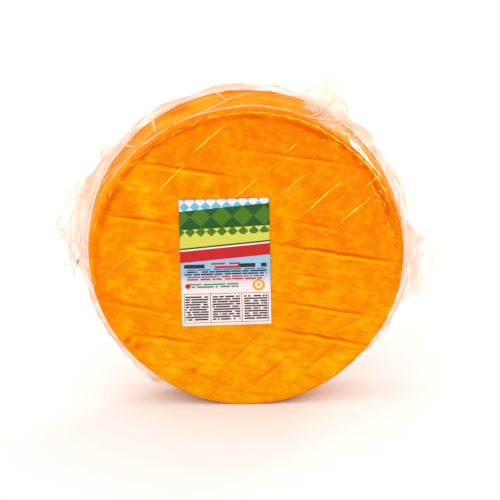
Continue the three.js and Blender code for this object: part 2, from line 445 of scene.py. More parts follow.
def new_tree(name, inputs):
    """A Geometry Nodes tree with named inputs, the function that adds nodes to it, and the inputs' sockets."""
    tree = bpy.data.node_groups.new(name, "GeometryNodeTree")
    for socket, kind in {"Geometry": "Geometry", **inputs}.items():
        tree.interface.new_socket(socket, in_out="INPUT", socket_type="NodeSocket" + kind)
    tree.interface.new_socket("Geometry", in_out="OUTPUT", socket_type="NodeSocketGeometry")
    add = partial(add_node, tree)
    return tree, add, add("NodeGroupInput", output=None)


def close_tree(add, geometry, material):
    """Ends a tree with its instances made real and its material set."""
    real = add("GeometryNodeRealizeInstances", [geometry])
    coated = add("GeometryNodeSetMaterial", {"Geometry": real, "Material": material})
    add("NodeGroupOutput", [coated], output=None)


def apply_tree(base, tree, values):
    """Runs a Geometry Nodes tree on an object, with its inputs by name, and keeps the result as its mesh."""
    modifier = base.modifiers.new("shape", "NODES")
    modifier.node_group = tree
    sockets = {item.name: item.identifier for item in tree.interface.items_tree if item.in_out == "INPUT"}
    for name, value in values.items():
        modifier[sockets[name]] = value
    evaluated = base.evaluated_get(bpy.context.evaluated_depsgraph_get())
    mesh = bpy.data.meshes.new_from_object(evaluated)
    base.modifiers.remove(modifier)
    guide = base.data
    base.data = mesh
    mesh.name = base.name
    bpy.data.meshes.remove(guide)


def wheel_outline(wheel):
    """Half a section, from the middle of the front face over rim and side to the middle of the back face."""
    rounding = wheel.rim_rounding
    side_end = HALF_THICKNESS - rounding
    straight = RADIUS - rounding
    face = [(straight * k / wheel.face_rings, -HALF_THICKNESS) for k in range(wheel.face_rings)]
    quarter = np.linspace(0, np.pi / 2, RIM_STEPS + 1)
    rim = [(straight + rounding * math.sin(t), -side_end - rounding * math.cos(t)) for t in quarter]
    across = np.linspace(-side_end, side_end, SIDE_STEPS + 1)[1:-1]
    side = [(RADIUS + wheel.side_bulge * (1 - (y / side_end) ** 2), y) for y in across]
    half = face + rim
    return half + side + [(r, -y) for r, y in reversed(half)]


def wheel_tree():
    """Turns a section's outline round the axis, pushes it out of round and presses its lowest edge flat."""
    inputs = {"Radius": "Float", "Axis Height": "Float", "Foot Height": "Float", "Sections": "Int"}
    tree, add, size = new_tree("Cheese wheel", {**inputs, "Rind": "Material"})
    inputs = {"Resolution": size["Sections"], "Radius": size["Radius"]}
    circle = add("GeometryNodeCurvePrimitiveCircle", inputs)
    level = add("GeometryNodeSetCurveNormal", {"Curve": circle}, mode="Z_UP")
    outline = add("GeometryNodeMeshToCurve", [size["Geometry"]])
    swept = add("GeometryNodeCurveToMesh", {"Curve": level, "Profile Curve": outline})
    merged = add("GeometryNodeMergeByDistance", {"Geometry": swept, "Distance": 0.001 * MM})
    x, y, z = add("SeparateXYZ", [add("GeometryNodeInputPosition")], output=None)
    angle = add("Math", (y, x), "ARCTAN2")
    swell = 0.0
    for waves, height, crest in OUT_OF_ROUND:
        phase = add("Math", (angle, waves, -waves * math.radians(crest)), "MULTIPLY_ADD")
        wave = add("Math", [phase], "COSINE")
        swell = add("Math", (wave, height, swell), "MULTIPLY_ADD")
    share = add("Math", (swell, size["Radius"]), "DIVIDE")
    swollen = add("Math", (share, 1.0), "ADD")
    fall = add("Math", (y, swollen), "MULTIPLY")
    past = add("Math", (fall, size["Foot Height"]), "DIVIDE")
    pressed = add("Math", (past, -1.0), "MULTIPLY")
    least = add("Math", (pressed, 1.0), "MAXIMUM")
    scale = add("Math", (swollen, least), "DIVIDE")
    across = add("Math", (x, scale), "MULTIPLY")
    up = add("Math", (y, scale, size["Axis Height"]), "MULTIPLY_ADD")
    stood = add("CombineXYZ", (across, z, up))
    shaped = add("GeometryNodeSetPosition", {"Geometry": merged, "Position": stood})
    close_tree(add, shaped, size["Rind"])
    return tree


def face_marks(rows):
    """A table's marks in metres: middle, length, cosine and sine of the turn, the turn, depth or radius."""
    for x, z, run, slope, size in rows:
        yield x * MM, z * MM, run * MM, cos_deg(slope), sin_deg(slope), slope, size * MM


def crease_depth(x, z):
    """How deep the creases are at places on a face, drawn wide enough for the mesh to hold them."""
    depth = np.zeros_like(x)
    for at_x, at_z, run, c, s, _, most in face_marks(CREASES):
        along = (x - at_x) * c + (z - at_z) * s
        across = (z - at_z) * c - (x - at_x) * s
        away = (along / (run * CREASE_END)) ** 2 + (across / (2 * CREASE_WIDTH)) ** 2
        depth = np.maximum(depth, 0.5 * most * np.clip(1 - away, 0, 1))
    return depth


def places_round_wheel(add, wheel):
    """A piece's places: as they are, from the wheel's middle, there x, y, z, angle, flat and distance."""
    place = add("TexCoord", output="Object")
    centred = add("Mapping", {"Vector": place, "Location": (0, 0, -axis_height(wheel))})
    x, y, z = add("SeparateXYZ", [centred], output=None)
    angle = add("Math", (z, x), "ARCTAN2")
    flat = add("CombineXYZ", (x, z))
    distance = add("VectorMath", [flat], "LENGTH", output="Value")
    return place, centred, x, y, z, angle, flat, distance


def crease_masks(add, place, x, y, z, distance):
    """Where a face has creases, darkened as painted shade, and spots, from 0 to 1, and where the rind swells
    beside a crease, painted paler as a highlight.
    """
    stray = add("TexNoise", {"Vector": place, "Scale": 1 / (9 * MM), "Detail": 2.0})
    fading = add("TexNoise", {"Vector": place, "Scale": 1 / (16 * MM), "Detail": 1.0})
    warp = add("MapRange", (stray, 0.0, 1.0, -1.0 * MM, 1.0 * MM))
    # The back has the same creases as the front, seen from its own side
    facing = add("Math", [y], "SIGN")
    mirrored = add("Math", (x, facing), "MULTIPLY")
    mirrored = add("Math", (mirrored, -1.0), "MULTIPLY")
    face = add("CombineXYZ", (mirrored, 0, z))
    face = add("VectorMath", (face, warp), "ADD")
    # A broken line of painted shade just inside the rim, strongest over the upper half
    strayed = add("MapRange", (stray, 0.3, 0.7, -RIM_CREASE_STRAYS, RIM_CREASE_STRAYS))
    strayed = add("Math", (distance, strayed), "ADD")
    beside = add("Math", (strayed, RIM_CREASE), "SUBTRACT")
    beside = add("Math", [beside], "ABSOLUTE")
    inputs = (beside, RIM_CREASE_CORE, RIM_CREASE_END, 0.9, 0.0)
    crease = add("MapRange", inputs, interpolation_type="SMOOTHSTEP")
    for pattern, low, high, least in ((z, -45 * MM, 30 * MM, 0.0), (fading, 0.38, 0.54, 0.4)):
        share = add("MapRange", (pattern, low, high, least, 1.0))
        crease = add("Math", (crease, share), "MULTIPLY")
    # The other marks: middle, half length, half width, turn, share
    marks = []
    for at_x, at_z, run, _, _, slope, deep in face_marks(CREASES):
        marks.append((at_x, at_z, run * CREASE_END, CREASE_WIDTH, slope, deep / FULL_CREASE))
    marks += [(at_x * MM, at_z * MM, width * MM / 2, width * MM / 2, 0, 0.8) for at_x, at_z, width in SPOTS]
    for at, width, share in RIM_DENTS:
        at_x, at_z = RIM_DENT_RADIUS * cos_deg(at), RIM_DENT_RADIUS * sin_deg(at)
        marks.append((at_x, at_z, 2 * width * MM, width * MM, at - 90, share))
    masks = [crease, 0.0]
    for at_x, at_z, half_run, half_width, slope, share in marks:
        inputs = {
            "Vector": face,
            "Location": (at_x, 0, at_z),
            "Rotation": (0, -math.radians(slope), 0),
            "Scale": (half_run, 1, half_width),
        }
        lens = add("Mapping", inputs, vector_type="TEXTURE")
        centres = [lens]
        if half_run > 2 * half_width:
            # The ridge of a crease lies just below it, painted paler as a highlight
            centres.append(add("VectorMath", (lens, (0, 0, 1.3)), "ADD"))
        for k, centre in enumerate(centres):
            away = add("VectorMath", [centre], "LENGTH", output="Value")
            mark = add("MapRange", (away, 0.0, 1.0, share, 0.0), interpolation_type="SMOOTHSTEP")
            masks[k] = add("Math", (masks[k], mark), "MAXIMUM")
    return masks


def rind_material(wheel):
    """Washed cheese rind, coloured with annatto and pressed in cheesecloth: waxy skin with the weave in it."""
    material, add = new_material("Washed rind with cheesecloth imprint")
    place, centred, x, y, z, angle, flat, distance = places_round_wheel(add, wheel)
    clouds = {}
    for size, detail in ((26, 4), (22, 2), (15, 5), (4, 3), (2, 2)):
        inputs = {"Vector": centred, "Scale": 1 / (size * MM), "Detail": detail}
        clouds[size] = add("TexNoise", inputs)
    # Marks drawn out along the cloth's folds, and painted shade drawn out beside the wrinkles that the film
    # pressed in
    marks = []
    for slope, stretch, size in ((CLOTH_TURN, 4, 3.2), (WRINKLE_TURN, 6, 2.6)):
        inputs = {"Vector": centred, "Rotation": (0, -math.radians(slope), 0), "Scale": (stretch, 1, 1)}
        drawn = add("Mapping", inputs, vector_type="TEXTURE")
        marks.append(add("TexNoise", {"Vector": drawn, "Scale": 1 / (size * MM), "Detail": 3.0}))

    # The threads run straight over the faces, and over the side they go round it and across it. They wander by
    # about their own width, as loose cloth does.
    turned = add("Mapping", {"Vector": flat, "Rotation": (0, 0, math.radians(-THREAD_TURN))})
    threads_round = round(2 * math.pi * RADIUS / wheel.thread_pitch)
    whole_threads = threads_round * wheel.thread_pitch / (2 * math.pi)
    unrolled = add("Math", (angle, whole_threads), "MULTIPLY")
    beside = add("CombineXYZ", (unrolled, y))
    on_side = add("Math", (distance, RADIUS - wheel.rim_rounding / 2), "GREATER_THAN")
    run = add("Mix", {0: on_side, 4: turned, 5: beside}, output=1, data_type="VECTOR")
    warp = add("MapRange", (clouds[22], 0, 1, -1.5 * MM, 1.5 * MM))
    threads = add("VectorMath", (run, warp), "ADD")
    # Over and under, the threads of a plain weave show as slanting rows, of which one way is the stronger
    across, along, _ = add("SeparateXYZ", [threads], output=None)
    weave = 0.5
    for kind, share in (("ADD", 0.28), ("SUBTRACT", 0.18)):
        slant = add("Math", (across, along), kind)
        phase = add("Math", (slant, math.pi / wheel.thread_pitch), "MULTIPLY")
        wave = add("Math", [phase], "SINE")
        weave = add("Math", (wave, share, weave), "MULTIPLY_ADD")

    # How far a place is towards the upper right, and towards the upper left
    rise, lift = (
        add("VectorMath", (centred, way), "DOT_PRODUCT", output="Value")
        for way in (UPPER_RIGHT, UPPER_LEFT)
    )
    reach, fine_deep, fine_pale = (
        add("MapRange", (rise, -60 * MM, 60 * MM, least, most))
        for least, most in ((0.2, 1.0), (0.35, 0.6), (0.25, 0.45))
    )
    strength = add("Math", (clouds[15], clouds[26]), "MULTIPLY")
    strength = add("MapRange", (strength, 0.17, 0.33, 0.25, 1.0))
    strength = add("Math", (strength, reach), "MULTIPLY")
    gap = add("Math", (weave, strength), "MULTIPLY")
    crease, ridge_highlight = crease_masks(add, place, x, y, z, distance)
    # Painted shade: the rind is deeper at the rim, most of all at its top. It is also a little deeper over the
    # side
    rim = add("MapRange", (distance, RADIUS - 12 * MM, RADIUS - 5 * MM))
    upper = add("MapRange", (lift, -60 * MM, 80 * MM, 0.0, 0.75))
    edge = add("Math", (rim, upper), "MULTIPLY")
    rim_shade_and_side_tone = add("Mix", {0: on_side, 2: edge, 3: 0.2}, data_type="FLOAT")
    from_middle = add("Math", [y], "ABSOLUTE")
    side_sheen = add("MapRange", (clouds[15], 0.38, 0.6, 0.45, 1.0))
    tone = wheel.rind
    # Each layer: its pattern, where it starts and where it is full, how much it covers there, and its colour
    for pattern, low, high, most, paint in (
        (clouds[26], 0.42, 0.60, 0.85, wheel.deep),
        (clouds[15], 0.47, 0.63, 0.85, wheel.pale),
        # Painted light: paler towards the bottom, where light comes up from the floor
        (z, -10 * MM, -95 * MM, 0.4, wheel.pale),
        (rise, 20 * MM, 100 * MM, 0.9, wheel.deep),
        (rim_shade_and_side_tone, 0.0, 1.0, 1.0, wheel.deep),
        (marks[0], 0.42, 0.66, 0.7, wheel.deep),
        # Painted shade beside the film's wrinkles
        (marks[1], 0.50, 0.70, 0.5, wheel.deep),
        (clouds[4], 0.48, 0.68, fine_pale, wheel.pale),
        (clouds[2], 0.47, 0.66, fine_deep, wheel.deep),
        # Painted sheen and shade: over the side's middle the rind is paler, as the film's sheen, and deeper
        # near each rim, where the film tents
        (from_middle, HALF_THICKNESS - 3 * MM, HALF_THICKNESS - 10 * MM, side_sheen, wheel.pale),
        (gap, 0.3, 1.0, 0.4, wheel.crease),
        # Painted highlight on each crease's ridge, then painted shade in the creases, the rim's line and its
        # dents, with the brown spots
        (ridge_highlight, 0.0, 1.0, 0.7, wheel.pale),
        (crease, 0.0, 1.0, 1.0, wheel.crease),
    ):
        share = add("MapRange", (pattern, low, high, 0.0, most))
        tone = add("Mix", {0: share, 6: tone, 7: paint}, output=2, data_type="RGBA")

    skin = add("Math", (clouds[2], 1.0, gap), "MULTIPLY_ADD")
    skin = add("Math", (crease, -1.2, skin), "MULTIPLY_ADD")
    relief = add("Bump", {"Height": skin, "Strength": 1.0, "Distance": 0.12 * MM})
    # The film lies on it without air between, so the rind itself hardly shines
    inputs = {"Base Color": tone, "Roughness": 0.6, "IOR": 1.46, "Specular IOR Level": 0.02, "Normal": relief}
    add("OutputMaterial", [add("BsdfPrincipled", inputs)], output=None)
    return material


def make_wheel(wheel):
    """The cheese: the tree gives the pressed round body, and the rind's relief moves its points."""
    outline = wheel_outline(wheel)
    guide = bpy.data.meshes.new("outline")
    points = [(r - RADIUS, y, 0) for r, y in outline]
    guide.from_pydata(points, [(k, k + 1) for k in range(len(points) - 1)], [])
    piece = link_object("cheese_rind", guide)
    height = axis_height(wheel)
    material = rind_material(wheel)
    values = {
        "Radius": RADIUS,
        "Axis Height": height,
        "Foot Height": height - FILM_UNDER_FOOT,
        "Sections": wheel.sections,
        "Rind": material,
    }
    apply_tree(piece, wheel_tree(), values)
    mesh = piece.data
    finish_mesh(mesh, material)
    points = get_array(mesh.vertices, "co", 3)
    normals = get_array(mesh.vertex_normals, "vector", 3)
    # The back has the same folds as the front, seen from its own side
    x = points[:, 0] * np.where(points[:, 1] < 0, 1, -1)
    z = points[:, 2] - height
    creases = crease_depth(x, z) * normals[:, 1] ** 2
    pores = 0.05 * MM * waviness(points, 5 * MM, PORES_SEED) * smooth_step(points[:, 2], *FOOT_FADE)
    points += normals * (unevenness(points, wheel) + pores - creases)[:, None]
    mesh.vertices.foreach_set("co", points.ravel())
    mesh.update()
    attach(piece, "root")
    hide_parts("cheese_wheel")


def around(angle, distance, y, wheel):
    """Points at angles and distances from the axis, slid in along the radius so as not to pass the floor."""
    height = axis_height(wheel)
    r = np.minimum(distance, height / np.maximum(-sin_deg(angle), 0.001))
    return np.stack([r * cos_deg(angle), np.broadcast_to(y, r.shape), height + r * sin_deg(angle)], -1)


def on_floor(points):
    """Points with none below the floor."""
    points[:, 2] = np.maximum(points[:, 2], 0)
    return points


def slackness(angle):
    """How slack the film over the side is, from 0.25 where it is tight to 1."""
    slack = np.full_like(angle, 0.25)
    for at, spread in SLACK_PLACES:
        slack = np.maximum(slack, hill(angle, at, spread) ** 0.5)
    return slack


def ring(angle, third):
    """Places round the wheel for a pattern, with a third measure that tells rows apart."""
    return np.stack([cos_deg(angle), sin_deg(angle), third + 0 * angle], -1) * RADIUS


def at_edge(angle, reach, y, wheel):
    """Points at a height over the wheel's edge."""
    return around(angle, RADIUS + out_of_round(angle) + reach, y, wheel)


def round_axis(angle, forward, outward=1.0):
    """Arrows away from the axis at angles, with how far they point along it."""
    return np.stack([cos_deg(angle) * outward, forward + 0 * angle, sin_deg(angle) * outward], -1)


def flange_tip(angle, bag, wheel):
    """The flange's outer edge, drawn out to the tip of a bag corner where there is one."""
    least = RADIUS + bag.flange_reach
    reach = np.full_like(angle, least)
    swing = np.zeros_like(angle)
    for at, spread, far, tip in BAG_CORNERS:
        share = hill(angle, at, spread)
        reach = np.maximum(reach, least + (far * MM - least) * share)
        swing += (tip - at) * share
    ragged = 1.2 * MM * crumple(ring(angle, 0), TIP_FACETS, bag.seed)
    return around(angle + swing, reach + ragged, 0.0, wheel)


def flange_point(angle, share, side, bag, wheel):
    """A row of one sheet of the flange, at a share of the way out. `side` is -1 in front and 1 behind."""
    root = at_edge(angle, bag.root_reach, 0.0, wheel)
    middle = root + (flange_tip(angle, bag, wheel) - root) * share
    away = np.linalg.norm(middle - root, axis=-1)
    wave = np.sin(np.radians(36 * angle) + 1.7 * share)
    at, spread, forward = FLANGE_COMES_FORWARD
    y = bag.root_y - forward * MM * hill(angle, at, spread) + away * (bag.lean + 0.08 * wave)
    for k, (facets, highest, growth) in enumerate(FLANGE_CRUMPLES, 1):
        y += np.minimum(growth * away, highest * MM) * crumple(middle, facets * MM, bag.seed + k)
    apart = bag.sheet_gap * (1 - 0.6 * share) * (1 + 0.5 * crumple(middle, AIR_FACETS, bag.seed + 3))
    middle[:, 1] = y + side * apart
    return middle


def patches_at(angle, share, patches, sharpness):
    """How far ragged patches of the slack film cover a place on it, from 0 to 1."""
    ragged = 0.25 * crumple(ring(angle, 0.3 * share), 6 * MM, PATCHES_SEED)
    covered = np.zeros_like(angle)
    for at, place, spread, reach, most in patches:
        away = np.hypot((angle - at) / spread, (share - place) / reach)
        covered = np.maximum(covered, most * np.clip((1 - away + ragged) * sharpness, 0, 1))
    return covered


def tent_point(angle, share, bag, wheel):
    """A row of film over the side: the front rim is 0, the flange's root 1 and its outer edge 2."""
    if share > 1:
        return flange_point(angle, share - 1, -1, bag, wheel)
    start = at_edge(angle, bag.cling, wheel.rim_rounding - HALF_THICKNESS, wheel)
    end = flange_point(angle, 0.0, -1, bag, wheel)
    places = ring(angle, 0.08 * share)
    pleats = np.clip(1 - 1.6 * np.abs(waviness(places, PLEATS, bag.seed + 4)), 0, 1) ** 1.5
    dents = 0.3 * crumple(places, DENTS, bag.seed + 5)
    lift = bag.gather * slackness(angle) * (pleats + dents) * math.sin(math.pi * share**0.8)
    lift = np.maximum(lift, 0) + unevenness(start, wheel) * (1 - share)
    return on_floor(start + (end - start) * share + round_axis(angle, 0.0) * lift[:, None])


def clinging_row(angle, r, y, outward_r, outward_y, wheel):
    """A row of film that clings to a face or its rim and moves with the rind under it."""
    nominal = around(angle, r + out_of_round(angle) * r / RADIUS, y, wheel)
    outward = round_axis(angle, outward_y, outward_r)
    return on_floor(nominal + outward * unevenness(nominal, wheel)[:, None])


def face_rows(angle, side, bag, wheel):
    """The film over one face and round its rim, from the middle outwards. `side` is -1 in front, 1 behind."""
    straight = RADIUS - wheel.rim_rounding
    level = side * (HALF_THICKNESS + bag.cling)
    out = straight / (FACE_ROWS + 1)
    rows = [clinging_row(angle, out * k, level, 0, side, wheel) for k in range(1, FACE_ROWS + 1)]
    bend = wheel.rim_rounding + bag.cling
    for t in np.linspace(0, np.pi / 2, RIM_ROWS):
        c, s = math.cos(t), math.sin(t)
        y = side * (HALF_THICKNESS - wheel.rim_rounding + bend * c)
        rows.append(clinging_row(angle, straight + bend * s, y, s, side * c, wheel))
    return rows


def film_material(bag, wheel):
    """Nylon and polyethylene film, blown clear: seen only where it is slack and catches the light."""
    material, add = new_material("Clear vacuum bag film")
    free, warmth, slack, glare, frost, on_rind = (
        add("Attribute", output="Fac", attribute_name=name)
        for name in ("free", "warmth", "slack", "glare", "frost", "on_rind")
    )
    # Slack film is drawn out into streaks that run round the wheel
    place, _, _, y, _, angle, _, distance = places_round_wheel(add, wheel)
    drawn = add("Math", (angle, 0.2 * RADIUS), "MULTIPLY")
    unrolled = add("CombineXYZ", (drawn, distance, y))
    inputs = {"Vector": unrolled, "Scale": 1 / (4 * MM), "Detail": 3.0, "Distortion": 0.6}
    streaks = add("TexNoise", inputs)
    wrinkles = add("TexNoise", {"Vector": place, "Scale": 1 / (5 * MM), "Detail": 3.0})
    height = add("Math", (streaks, free), "MULTIPLY")
    relief = add("Bump", {"Height": height, "Strength": 0.7, "Distance": 0.5 * MM})
    # Painted light: the rind's orange light tints the film pink near it, more in some streaks than in others
    uneven = add("MapRange", (streaks, 0.38, 0.58, 1.6, 0.4))
    warmth = add("Math", (warmth, uneven), "MULTIPLY", use_clamp=True)
    tint = add("Mix", {0: warmth, 6: bag.clear, 7: bag.warm}, output=2, data_type="RGBA")
    through = add("BsdfTransparent", [tint])
    gloss = add("BsdfGlossy", {"Roughness": 0.13, "Normal": relief})
    # Where the film clings, light meets one surface instead of two or more, so it shines far less
    grazing = add("LayerWeight", {"Blend": 0.5, "Normal": relief}, output="Facing")
    bounce = add("Math", (grazing, 5.0), "POWER")
    patches = add("MapRange", (streaks, 0.46, 0.64, 0.1, 2.4))
    gain = add("Math", (patches, slack), "MULTIPLY")
    gain = add("Mix", {0: free, 2: 0.15, 3: gain}, data_type="FLOAT")
    # Painted glare: in its patches the film's gloss is made stronger, as if it stood square to the light, for
    # a low angle
    low_angle = add("MapRange", (grazing, 0.58, 0.7))
    glint = add("Math", (glare, low_angle), "MULTIPLY")
    mirror = add("Math", (bounce, gain, glint), "MULTIPLY_ADD", use_clamp=True)
    shiny = add("MixShader", (mirror, through, gloss))
    # Painted highlights: a fold is painted white, and yellow where it lies on the rind
    veil_and_highlight = bag.veil
    for share, paint in ((frost, bag.fold), (on_rind, bag.glow)):
        veil_and_highlight = add("Mix", {0: share, 6: veil_and_highlight, 7: paint}, output=2, data_type="RGBA")
    # Light comes through from behind only where there is no rind behind
    passing = add("MapRange", (on_rind, 0.0, 1.0, 0.5, 0.0))
    scattered = add("MixShader", (passing, add("BsdfDiffuse", [veil_and_highlight]), add("BsdfTranslucent", [veil_and_highlight])))
    wisps = add("MapRange", (streaks, 0.48, 0.66, 0.03, 0.4))
    wisps = add("Math", (wisps, slack), "MULTIPLY")
    fold_highlight = add("MapRange", (wrinkles, 0.38, 0.54, 0.5, 1.0))
    fold_highlight = add("Math", (fold_highlight, frost), "MULTIPLY")
    veil = add("Math", (wisps, free, fold_highlight), "MULTIPLY_ADD", use_clamp=True)
    film = add("MixShader", (veil, shiny, scattered))
    add("OutputMaterial", [film], output=None)
    return material


def make_film(bag, wheel):
    """The whole bag as one closed skin: both faces, the tented side, and the flange with its corners."""
    angle = np.linspace(0, 360, bag.sections, endpoint=False)
    front_face = face_rows(angle, -1, bag, wheel)
    back_face = face_rows(angle, 1, bag, wheel)[::-1]
    tent_shares = np.linspace(0, 1, SIDE_ROWS + 2)[1:-1]
    tent = [tent_point(angle, share, bag, wheel) for share in tent_shares]
    outward = np.linspace(0, 1, FLANGE_ROWS)
    front_sheet = [flange_point(angle, share, -1, bag, wheel) for share in outward]
    back_sheet = [flange_point(angle, share, 1, bag, wheel) for share in outward[::-1]]
    closing = [back_sheet[-1] + (back_face[0] - back_sheet[-1]) * share for share in (0.25, 0.5, 0.75)]
    loose = tent + front_sheet + back_sheet + closing
    rows = front_face + loose + back_face
    height = axis_height(wheel)
    poles = np.array([[0, side * (HALF_THICKNESS + bag.cling), height] for side in (-1, 1)])
    poles[:, 1] += np.array([-1, 1]) * unevenness(poles, wheel)
    points = np.concatenate([np.stack(rows, 1).reshape(-1, 3), poles])
    across = len(rows)
    count = bag.sections
    faces = []
    for i in range(count):
        here, following = i * across, (i + 1) % count * across
        faces += [(here + j, here + j + 1, following + j + 1, following + j) for j in range(across - 1)]
        faces.append((count * across, here, following))
        faces.append((count * across + 1, following + across - 1, here + across - 1))
    mesh = bpy.data.meshes.new("bag_film")
    mesh.from_pydata(points.tolist(), [], faces)
    finish_mesh(mesh, film_material(bag, wheel))
    free = np.zeros(across)
    free[len(front_face) : -len(back_face)] = smooth_step(np.arange(len(loose)), 0, FREEING_ROWS)
    free = np.append(np.tile(free, count), [0, 0])
    outside = np.hypot(points[:, 0], points[:, 2] - height) - RADIUS - bag.root_reach
    near = np.exp(-((np.maximum(outside, 0) / bag.warm_reach) ** 1.4))
    # Painted glow of the rind's orange light on the film, fading out away from it
    warmth = free * near * (0.5 + 0.5 * smooth_step(outside, -2 * MM, 1 * MM))
    slack = slackness(np.degrees(np.arctan2(points[:, 2] - height, points[:, 0])))
    slack *= (0.3 + 0.7 * smooth_step(outside, -1 * MM, 1 * MM)) * (0.35 + 0.65 * near)
    set_attributes(mesh, free=free, warmth=warmth, slack=slack)
    # The rim's own rows count as places just short of 0
    places = np.concatenate([np.linspace(-0.15, 0, RIM_ROWS), tent_shares, 1 + outward])
    for key, patches, sharpness in (("glare", GLARES, 4), ("frost", GATHER_HIGHLIGHTS, 1.5)):
        values = np.zeros((count, across))
        for k, place in enumerate(places):
            values[:, FACE_ROWS + k] = patches_at(angle, place, patches, sharpness)
        set_attributes(mesh, **{key: np.append(values, [0, 0])})
    piece = link_object("bag_film", mesh)
    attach(piece, "root")
    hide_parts("vacuum_bag")


def fold_tree():
    """Sweeps a soft fold of film along every path, thick in its middle and running out at its ends."""
    tree, add, size = new_tree("Film folds", {"Flatness": "Float", "Facets": "Int", "Film": "Material"})
    paths = add("GeometryNodeMeshToCurve", [size["Geometry"]])
    level = add("GeometryNodeSetCurveNormal", {"Curve": paths}, mode="Z_UP")
    radius = add("GeometryNodeInputNamedAttribute", ["radius"], data_type="FLOAT")
    circle = add("GeometryNodeCurvePrimitiveCircle", {"Resolution": size["Facets"], "Radius": 1.0})
    squash = add("CombineXYZ", (size["Flatness"], 1.0, 1.0))
    section = add("GeometryNodeTransform", {"Geometry": circle, "Scale": squash})
    inputs = {"Curve": level, "Profile Curve": section, "Scale": radius, "Fill Caps": True}
    close_tree(add, add("GeometryNodeCurveToMesh", inputs), size["Film"])
    return tree


def make_folds(name, paths, wheel, flatness, frost, on_rind):
    """Folds along paths, each an array of points and the radius in its middle, as one piece of film.

    `frost` is how white their painted highlight is, and `on_rind` how far those within the edge have it
    painted yellow like the rind.
    """
    points = []
    edges = []
    radii = []
    for path, radius in paths:
        start = len(points)
        points += path.tolist()
        edges += [(start + k, start + k + 1) for k in range(len(path) - 1)]
        swell = np.sin(np.linspace(0, np.pi, len(path))) ** 0.7
        radii += (radius * (FOLD_END + (1 - FOLD_END) * swell)).tolist()
    guide = bpy.data.meshes.new("paths")
    guide.from_pydata(points, edges, [])
    set_attributes(guide, radius=radii)
    piece = link_object(name, guide)
    film = bpy.data.materials["Clear vacuum bag film"]
    apply_tree(piece, fold_tree(), {"Flatness": flatness, "Facets": FOLD_FACETS, "Film": film})
    finish_mesh(piece.data, film)
    points = get_array(piece.data.vertices, "co", 3)
    outside = np.hypot(points[:, 0], points[:, 2] - axis_height(wheel)) - RADIUS
    over_rind = on_rind * (1 - smooth_step(outside, 1 * MM, 5 * MM))
    frost = frost * (1 - 0.4 * smooth_step(outside, 0, 4 * MM))
    free = np.ones_like(outside)
    set_attributes(piece.data, free=free, slack=0.5 - 0.5 * over_rind, frost=frost, on_rind=over_rind)
    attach(piece, "root")


def face_wrinkle_paths(bag, wheel):
    """Wrinkles of the film where it clings to a face, and the short tucks along its rim."""
    rng = np.random.default_rng(bag.seed)
    paths = []
    for side in (-1, 1):
        flat_paths = []
        for at_x, at_z, run, c, s, _, radius in face_marks(FACE_WRINKLES):
            along = np.linspace(-run / 2, run / 2, 24)
            bend = 0.2 * MM * np.sin(along / (4 * MM) + at_x / MM)
            x, z = along * c - bend * s, along * s + bend * c
            flat_paths.append((x - side * at_x, z - side * at_z, radius))
        lines = []
        for angle, end, pause, thickness, most_inside in RIM_FOLDS:
            distance = RIM_FOLDS_START
            while angle < end:
                following_angle = angle + rng.uniform(2.5, 7.0)
                following = RADIUS - rng.uniform(0.6, most_inside) * MM
                radius = thickness * MM * rng.uniform(0.6, 1.3)
                lines.append((angle, distance, following_angle, following, radius))
                angle = following_angle + rng.uniform(0.2, 1.0) * pause
                distance = following
        for angle in np.concatenate([rng.uniform(*row) for row in TUCKS]):
            distance = RADIUS - rng.uniform(3.5, 8) * MM
            end = distance + rng.uniform(-1.0, 1.6) * MM
            lines.append((angle, distance, angle - rng.uniform(1.0, 2.6), end, rng.uniform(0.25, 0.5) * MM))
        for angle_a, far_a, angle_b, far_b, radius in lines:
            steps = np.linspace(0, 1, 9)
            angles = angle_a + (angle_b - angle_a) * steps
            r = far_a + (far_b - far_a) * steps + 0.25 * MM * np.sin(7 * steps + angle_a)
            flat_paths.append((r * cos_deg(angles), r * sin_deg(angles), radius))
        # The back is laid out as the front is, as seen from behind
        for x, z, radius in flat_paths:
            dip = np.maximum(np.hypot(x, z) - RADIUS + wheel.rim_rounding, 0) ** 2 / (2 * wheel.rim_rounding)
            points = np.stack([-side * x, side * (HALF_THICKNESS - dip), z + axis_height(wheel)], -1)
            points[:, 1] += side * (bag.cling + unevenness(points, wheel))
            paths.append((points, radius))
    return paths


def drawn_out(values, steps=36, blur=4):
    """A few values drawn out evenly to many, with the corners between them rounded off."""
    line = np.interp(np.linspace(0, len(values) - 1, steps), range(len(values)), values)
    padded = np.pad(line, blur, mode="reflect", reflect_type="odd")
    return np.convolve(padded, np.full(2 * blur + 1, 1 / (2 * blur + 1)), "valid")


